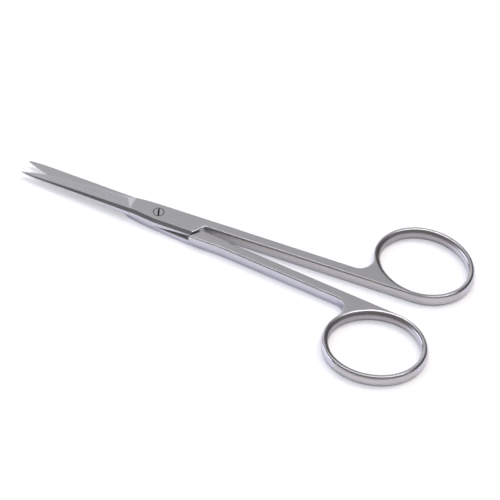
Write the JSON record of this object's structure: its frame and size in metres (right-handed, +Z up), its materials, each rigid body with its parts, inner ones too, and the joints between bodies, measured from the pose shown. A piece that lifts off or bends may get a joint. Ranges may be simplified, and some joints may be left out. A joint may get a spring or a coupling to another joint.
{
  "type": "iris scissors",
  "caption": "Slender straight-bladed surgical scissors with sharp tips, long narrow shanks, oval finger rings and a flush slotted joint screw.",
  "frame": {"origin": "on the joint's axis, on the plane that the scissors rest on", "axes": "+X from the joint to the finger rings midway between the halves, +Z up along the joint's axis, away from the resting plane"},
  "size_m": [0.1151, 0.05, 0.0034],
  "materials": {
    "satin_steel": "satin ground faces with polished sides and rings",
    "screw_steel": "satin"
  },
  "bodies": {
    "lower": {"lower_half": "satin_steel", "joint_screw": "screw_steel"},
    "upper": {"upper_half": "satin_steel"}
  },
  "joints": [
    {"name": "pivot", "type": "hinge", "parent": "lower", "child": "upper", "pos_m": [0, 0, 0], "axis": [0, 0, 1], "range_deg": [-5.8, 54]}
  ]
}
